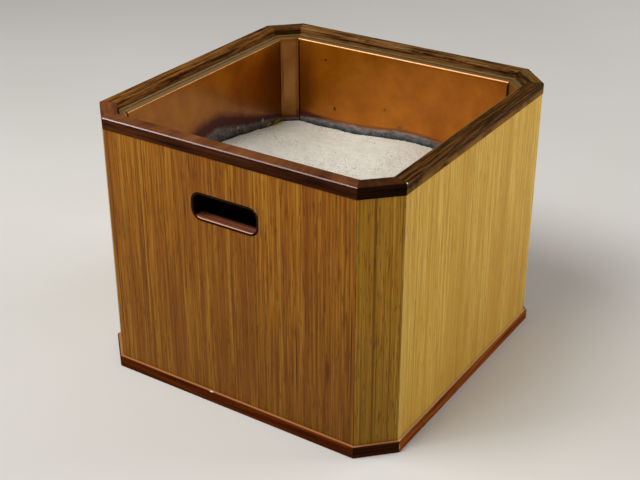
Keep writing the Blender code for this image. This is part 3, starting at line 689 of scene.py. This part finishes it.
def finish_piece(name, bm, materials, body, stands_for):
    """Object of a finished mesh that rides on a body and stands for some CAD nodes."""
    mesh = bpy.data.meshes.new(name)
    bm.to_mesh(mesh)
    bm.free()
    mesh.shade_smooth()
    mesh.set_sharp_from_angle(angle=math.radians(SHARP_DEGREES))
    for material in materials:
        mesh.materials.append(material)
    piece = bpy.data.objects.new(name, mesh)
    bpy.context.collection.objects.link(piece)
    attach(piece, body)
    if stands_for:
        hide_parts(*stands_for)


def rim_bar(chamfered):
    """Section of the rim drawn from -1 to 1 along x, with its upper edges rounded or chamfered."""
    bm = bmesh.new()
    corners = [
        (RIM_OUTER, RIM_BOTTOM), (GROOVE_OUTER, RIM_BOTTOM), (GROOVE_OUTER, GROOVE_TOP),
        (GROOVE_INNER, GROOVE_TOP), (GROOVE_INNER, RIM_BOTTOM), (RIM_INNER, RIM_BOTTOM),
        (RIM_INNER, RIM_TOP), (RIM_OUTER, RIM_TOP),
    ]
    section = bm.faces.new([bm.verts.new((-1, depth, height)) for depth, height in corners])
    pushed = bmesh.ops.extrude_face_region(bm, geom=[section])
    bmesh.ops.translate(bm, verts=made_verts(pushed), vec=(2, 0, 0))
    upper = [edge for edge in long_edges(bm) if edge.verts[0].co.z > GROOVE_TOP + RIM_ARRIS]
    facets = 1 if chamfered else ARRIS_FACETS
    offset = WAXED_ARRIS if chamfered else RIM_ARRIS
    bmesh.ops.bevel(
        bm, geom=upper, offset=offset, affect="EDGES", segments=facets, profile=0.5, material=-1)
    for height in RIM_LEVELS:
        cut_through(bm, (0, 0, height), (0, 0, 1))
    bmesh.ops.recalc_face_normals(bm, faces=bm.faces[:])
    return bm


def add_rim_piece(node, turn, half_length, distance, materials, top_rub_and_sheen, on_edges, low_outside, low_inside):
    """Rim rail with its wear: rubbed on top, there partly as painted sheen, dented on its edges, and paler
    low on its two sides.

    With a second material its upper edges are chamfers that take it.
    """
    bm = rim_bar(chamfered=len(materials) > 1)
    draw_out(bm, half_length, RIM_CELL)
    bm.normal_update()
    for face in bm.faces:
        if len(materials) > 1 and abs(face.normal.y * face.normal.z) > CHAMFER_SLANT:
            face.material_index = 1
    wear_and_sheen = bm.verts.layers.float.new("wear_and_sheen")
    place = side_place(turn, distance)
    for vert in bm.verts:
        spot = place @ vert.co
        edge = 2 * abs(vert.normal.y * vert.normal.z)
        small_dents = max(0.0, noise.noise(spot / DENT_SPACING) - DENT_LEVEL)
        hollows = HOLLOW_SHARE * max(0.0, noise.noise(spot / HOLLOW_SPACING))
        scuffs = SCUFF_SHARE * noise.noise(spot / SCUFF_SPACING)
        rubbing = RUB_LEVEL + noise.noise(spot / RUB_SPACING) + scuffs
        low = limited((RIM_LEVELS[-1] - vert.co.z) / (RIM_LEVELS[-1] - RIM_LEVELS[0]))
        low *= low_outside if vert.co.y < GROOVE_OUTER else low_inside
        # paler top: rubbing, and on the front pieces partly painted sheen
        top = limited(vert.normal.z) ** FLAT_POWER * top_rub_and_sheen
        vert.co -= vert.normal * DENT_DEPTH * edge * (small_dents + hollows) * on_edges
        vert[wear_and_sheen] = limited(edge * rubbing * on_edges + (top + low) * (RUB_LEVEL + rubbing))
    bmesh.ops.transform(bm, matrix=place, verts=bm.verts[:])
    finish_piece(node + "_worn", bm, materials, "box", [node])


def pull_edge(bm, edge, push):
    """Extrude an edge along a vector, and give back the edge that went."""
    pulled = made_verts(bmesh.ops.extrude_edge_only(bm, edges=[edge]))
    bmesh.ops.translate(bm, verts=pulled, vec=push)
    return bm.edges.get(pulled)


def folded_sheet(wall, half_length):
    """Liner sheet without thickness: wall, fold, flange and rolled edge, in cells that face inwards."""
    bm = bmesh.new()
    wall_height = FLANGE_TOP - LINER_UNDERSIDE
    foot = bm.edges.new([bm.verts.new((end, wall, LINER_UNDERSIDE)) for end in (-1, 1)])
    fold = pull_edge(bm, foot, (0, 0, wall_height))
    flange = pull_edge(bm, fold, (0, ROLL_DEPTH - wall, 0))
    bmesh.ops.spin(
        bm, geom=flange.verts[:] + [flange], cent=(0, ROLL_DEPTH, FLANGE_TOP + ROLL_RADIUS),
        axis=(1, 0, 0), dvec=(0, 0, 0), angle=math.radians(ROLL_TURN), steps=ROLL_FACETS)
    bmesh.ops.bevel(
        bm, geom=[fold], offset=FOLD_RADIUS, affect="EDGES", segments=FOLD_FACETS, profile=0.5, material=-1)
    upright = [edge for edge in bm.edges if abs(edge.verts[0].co.z - edge.verts[1].co.z) > wall_height / 2]
    bmesh.ops.subdivide_edges(bm, edges=upright, cuts=int(wall_height / SHEET_CELL))
    draw_out(bm, half_length, SHEET_CELL)
    bm.normal_update()
    lowest = min(bm.faces, key=lambda face: face.calc_center_median().z)
    if lowest.normal.y < 0:
        bmesh.ops.reverse_faces(bm, faces=bm.faces[:])
    return bm


def add_tabs(bm):
    """Tabs on both ends of a corner strip, which lap behind the walls."""
    for end in (-1, 1):
        seam = [
            edge for edge in bm.edges if edge.is_boundary
            and all(v.co.x * end > LAP_WIDTH and LAP_LOW < v.co.z < LAP_HIGH for v in edge.verts)
        ]
        tab = made_verts(bmesh.ops.extrude_edge_only(bm, edges=seam))
        bmesh.ops.translate(bm, verts=tab, vec=Vector((end, 1, 0)).normalized() * LAP_WIDTH)


def lay_dust(bm, layers, dustiness):
    """Levels of the dust on the flange and its rolled edge, and of the grime and painted shade along the
    seams.
    """
    for vert in bm.verts:
        # grime and painted shade along the free edges at the seams
        vert[layers["grime_and_seam_shade"]] = vert.is_boundary and vert.co.z < FLANGE_TOP - FOLD_RADIUS
        vert[layers["dust"]] = 1.0 if vert.co.y < ROLL_END else limited(vert.normal.z) * dustiness


def lay_residue(bm, layers, place, half_length, is_wall, on_left):
    """Levels of the residue and of the scorch over it: 0 at the foot of each, and 1 at its upper edge."""
    for vert in bm.verts:
        spot = place @ vert.co
        along = limited(abs(vert.co.x) / half_length)
        ash_top = ash_height(spot.x, spot.y)
        banked = (ash_top - ASH_BED) / ASH_BANK if on_left else 0.0
        grey = RESIDUE_EDGE
        if is_wall:
            grey += RESIDUE_SWELL * (1 - along ** SWELL_POWER) + BANK_RESIDUE * banked ** BANK_POWER
        over_ash = vert.co.z - ash_top
        vert[layers["residue"]] = over_ash / grey
        vert[layers["scorch"]] = (over_ash - grey) / (SCORCH + BANK_SCORCH * banked)


def sway_sheet(bm, place, half_length):
    """Bring a sheet a little out of flat under its fold."""
    for vert in bm.verts:
        spot = place @ vert.co
        along = limited(abs(vert.co.x) / half_length)
        slack = (1 - along ** 2) * limited((SWAY_TOP - vert.co.z) / SWAY_FADE)
        vert.co.y += SWAY * slack * noise.noise(spot / SWAY_SPACING)


def add_liner_sheet(node, turn, half_length, distance, setback, materials):
    """Copper sheet of the liner, a little out of flat, with the levels of its stains.

    Its materials are those of the inner face, of the fold and of the outer face.
    A corner strip has a setback behind the walls, and tabs.
    """
    bm = folded_sheet(LINER_INSET - setback, half_length)
    for face in bm.faces:
        slanting = face.normal.y * face.normal.z > FOLD_SLANT
        face.material_index = 1 if slanting and face.calc_center_median().y > ROLL_END else 0
    layers = {stain: bm.verts.layers.float.new(stain) for stain in ("residue", "scorch", "dust", "grime_and_seam_shade")}
    lay_dust(bm, layers, STRIP_DUST if setback else 1.0)
    if setback:
        add_tabs(bm)
    place = side_place(turn, distance)
    lay_residue(bm, layers, place, half_length, is_wall=not setback, on_left=node.endswith("left"))
    sway_sheet(bm, place, half_length)
    bmesh.ops.solidify(bm, geom=bm.faces[:], thickness=SHEET)
    bm.normal_update()
    for face in bm.faces:
        if min(face.normal.y, face.normal.z) < OUTER_SLANT:
            face.material_index = 2
    bmesh.ops.transform(bm, matrix=place, verts=bm.verts[:])
    finish_piece(node + "_sheet", bm, materials, "liner", [node])


def add_ash(material):
    """Bed of ash: a fine grid cut to the liner's octagon and raised, with sides down to the pan."""
    bm = bmesh.new()
    reach = HALF_WIDTH - ASH_TOP_INSET
    bmesh.ops.create_grid(bm, x_segments=ASH_CELLS, y_segments=ASH_CELLS, size=reach)
    for turn in CORNER_SIDES.values():
        outwards = Matrix.Rotation(math.radians(turn), 3, "Z") @ Vector((0, -1, 0))
        cut_through(bm, outwards * (CORNER_DISTANCE - ASH_TOP_INSET), outwards, clear_outer=True)
    for vert in bm.verts:
        vert.co.z = ash_surface(vert.co.x, vert.co.y)
    narrower = (HALF_WIDTH - ASH_LOW_INSET) / reach
    for height, scale in ((ASH_SHELF, 1.0), (ASH_SHELF, narrower), (ASH_FLOOR, 1.0)):
        edges = [edge for edge in bm.edges if edge.is_boundary]
        lower = made_verts(bmesh.ops.extrude_edge_only(bm, edges=edges))
        bmesh.ops.scale(bm, verts=lower, vec=(scale, scale, 1))
        for vert in lower:
            vert.co.z = height
    bmesh.ops.contextual_create(bm, geom=[edge for edge in bm.edges if edge.is_boundary])
    bmesh.ops.recalc_face_normals(bm, faces=bm.faces[:])
    finish_piece("ash_bed_raked", bm, [material], "liner", ["ash_bed"])


def add_crumbs(name, material, seed, count, smallest, largest, at_wall=False, start=(-1, -1), end=(1, 1)):
    """Crumbs pressed into the ash, in a field given in shares of its width or in a row beside the walls."""
    chance = random.Random(seed)
    bm = bmesh.new()
    reach = HALF_WIDTH - ASH_TOP_INSET - largest
    corner_reach = math.sqrt(2) * (CORNER_DISTANCE - ASH_TOP_INSET - largest)
    for _ in range(count):
        x = chance.uniform(start[0], end[0]) * reach
        y = chance.uniform(start[1], end[1]) * reach
        if at_wall:
            x, y = chance.choice([(x, reach), (-reach, y), (x, -reach), (reach, y)])
        if abs(x) + abs(y) > corner_reach:
            continue
        size = smallest + (largest - smallest) * chance.random() ** 2
        turn = Euler([chance.uniform(0, math.tau) for _ in range(3)]).to_matrix().to_4x4()
        squash = Matrix.Diagonal((1, chance.uniform(*CRUMB_WIDTHS), chance.uniform(*CRUMB_HEIGHTS), 1))
        spot = Matrix.Translation((x, y, ash_surface(x, y)))
        bmesh.ops.create_icosphere(bm, subdivisions=1, radius=size, matrix=spot @ turn @ squash)
    finish_piece(name, bm, [material], "liner", [])


def add_floor():
    """Pale floor of the stage."""
    bm = bmesh.new()
    bmesh.ops.create_grid(bm, x_segments=1, y_segments=1, size=FLOOR_REACH)
    mesh = bpy.data.meshes.new("floor")
    bm.to_mesh(mesh)
    bm.free()
    mesh.materials.append(painted_floor())
    floor = bpy.data.objects.new("floor", mesh)
    bpy.context.collection.objects.link(floor)


def add_lamp(name, place, aim, size, watts):
    """Soft lamp that looks at a point, with its sizes across and along."""
    lamp = bpy.data.lights.new(name, "AREA")
    lamp.shape = "RECTANGLE"
    lamp.size, lamp.size_y = size
    lamp.energy = watts
    holder = bpy.data.objects.new(name, lamp)
    holder.location = place
    holder.rotation_euler = (Vector(aim) - Vector(place)).to_track_quat("-Z", "Y").to_euler()
    bpy.context.collection.objects.link(holder)


def light_stage():
    """Even pale surroundings and soft lamps."""
    world = bpy.data.worlds.new("studio")
    world.use_nodes = True
    background = world.node_tree.nodes["Background"]
    wire(world.node_tree, background, {"Color": linear("#F4F2EE"), "Strength": SURROUNDINGS})
    bpy.context.scene.world = world
    for name, settings in LAMPS.items():
        add_lamp(name, *settings)


def add_camera():
    """Camera at the photograph's viewing angle."""
    lens = bpy.data.cameras.new("camera")
    lens.lens = CAMERA_LENS
    lens.sensor_width = CAMERA_SENSOR
    lens.shift_x, lens.shift_y = CAMERA_SHIFT
    camera = bpy.data.objects.new("camera", lens)
    camera.location = CAMERA_PLACE
    camera.rotation_euler = Vector(CAMERA_DIRECTION).to_track_quat("-Z", "Y").to_euler()
    bpy.context.collection.objects.link(camera)
    bpy.context.scene.camera = camera
    bpy.context.scene.view_settings.view_transform = "Standard"


def paint(material, *names):
    """Give some CAD nodes a material."""
    for name in names:
        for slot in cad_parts[name].material_slots:
            slot.material = material


# Veneered panels and stiles
front_veneer = quartered_veneer("oiled_veneer_front", FRONT_VENEER, FRONT_MARKS, FRONT_FOOT_SHADE)
side_veneer = quartered_veneer("oiled_veneer_side", SIDE_VENEER, SIDE_MARKS_AND_HIGHLIGHT)
corner_veneer = quartered_veneer("oiled_veneer_corner", CORNER_VENEER, line_level=CORNER_LINES)
paint(front_veneer, "panel_front", "panel_back")
paint(side_veneer, "panel_right", "panel_left")
paint(corner_veneer, *[f"corner_stile_{side}" for side in CORNER_SIDES])

# Rosewood rim and base
arris = waxed_arris()
for sides, half_length, distance, kind in (
    (STRAIGHT_SIDES, STRAIGHT_HALF, HALF_WIDTH, "rail"),
    (CORNER_SIDES, CORNER_HALF, CORNER_DISTANCE, "corner"),
):
    for side, turn in sides.items():
        *colours, spread, streak = RIM_WOODS[side]
        # every rim piece takes the painted glint, which falls at the front right corner
        woods = [rosewood(f"rosewood_rim_{side}", turn, colours, spread, streak, RAIL_GLINT)]
        if side == "front":
            woods.append(arris)
        add_rim_piece(f"rim_{kind}_{side}", turn, half_length, distance, woods, *RIM_WEAR[side])
        colours = BASE_CORNER_WOOD if kind == "corner" else BASE_RAIL_WOOD
        if side == "right":
            colours = BASE_RIGHT_WOOD
        base_wood = rosewood(
            f"rosewood_base_{side}", turn, colours, SOFT_SPREAD, WIDE_STREAK, BASE_MARKS, BASE_LEDGE_RUBBED_AND_LIT)
        paint(base_wood, f"base_{kind}_{side}")

# Grips, inner softwood and screws
paint(waxed_grip(), "grip_lining_front", "grip_lining_back")
# Near-black plates behind the grips: painted shade in the recesses
shaded_backing_wood = rosewood("rosewood_grip_backing_shaded", 0, BACKING_SHADE_WOOD, SOFT_SPREAD, WIDE_STREAK)
paint(shaded_backing_wood, "grip_backing_front", "grip_backing_back")
for side, turn in STRAIGHT_SIDES.items():
    paint(planed_softwood(f"softwood_{side}", turn), f"liner_ledger_{side}")
paint(planed_softwood("softwood_floor", 0), "floor_board")
upright_softwood = planed_softwood("softwood_upright", 0, upright=True)
paint(upright_softwood, *[f"corner_block_{side}" for side in CORNER_SIDES])
paint(zinc_steel(), *[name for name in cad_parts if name.startswith("floor_screw")])

# Copper liner
wall_copper = aged_copper("aged_copper_walls", WALL_COPPER, fringed=0.9, scorched=0.55)
# darker copper on the left wall: painted shade
shaded_left_copper = aged_copper("aged_copper_left_shaded", LEFT_COPPER_SHADED, fringed=0.4)
strip_copper = aged_copper("aged_copper_strips", STRIP_COPPER, fringed=0.4, scorched=0.6)
outer_copper = aged_copper("aged_copper_outside", STRIP_COPPER, stained=False)
fold_copper = burnished_highlit_copper()
for side, turn in STRAIGHT_SIDES.items():
    inner_copper = shaded_left_copper if side == "left" else wall_copper
    # only the front and back folds take the paler copper, partly a painted highlight
    edge_copper = fold_copper if side in ("front", "back") else inner_copper
    coppers = [inner_copper, edge_copper, outer_copper]
    add_liner_sheet(f"liner_wall_{side}", turn, STRAIGHT_HALF, HALF_WIDTH, 0, coppers)
for side, turn in CORNER_SIDES.items():
    coppers = [strip_copper, strip_copper, outer_copper]
    add_liner_sheet(f"liner_corner_{side}", turn, CORNER_HALF, CORNER_DISTANCE, LAP_STEP, coppers)
paint(outer_copper, "liner_floor")

# Ash, with crumbs strewn over it, heaped towards the right front, and in a row at the walls
ash = wood_ash()
add_ash(ash)
crumb = charcoal()
add_crumbs("charcoal_crumbs", crumb, seed=5, count=120, smallest=0.0004, largest=0.0013)
add_crumbs(
    "charcoal_heap", crumb, seed=7, count=90, smallest=0.0004, largest=0.0011,
    start=(0.3, -1), end=(1, -0.55))
add_crumbs("ash_lumps", ash, seed=9, count=260, smallest=0.0005, largest=0.0019, at_wall=True)

# Stage
add_floor()
light_stage()
add_camera()
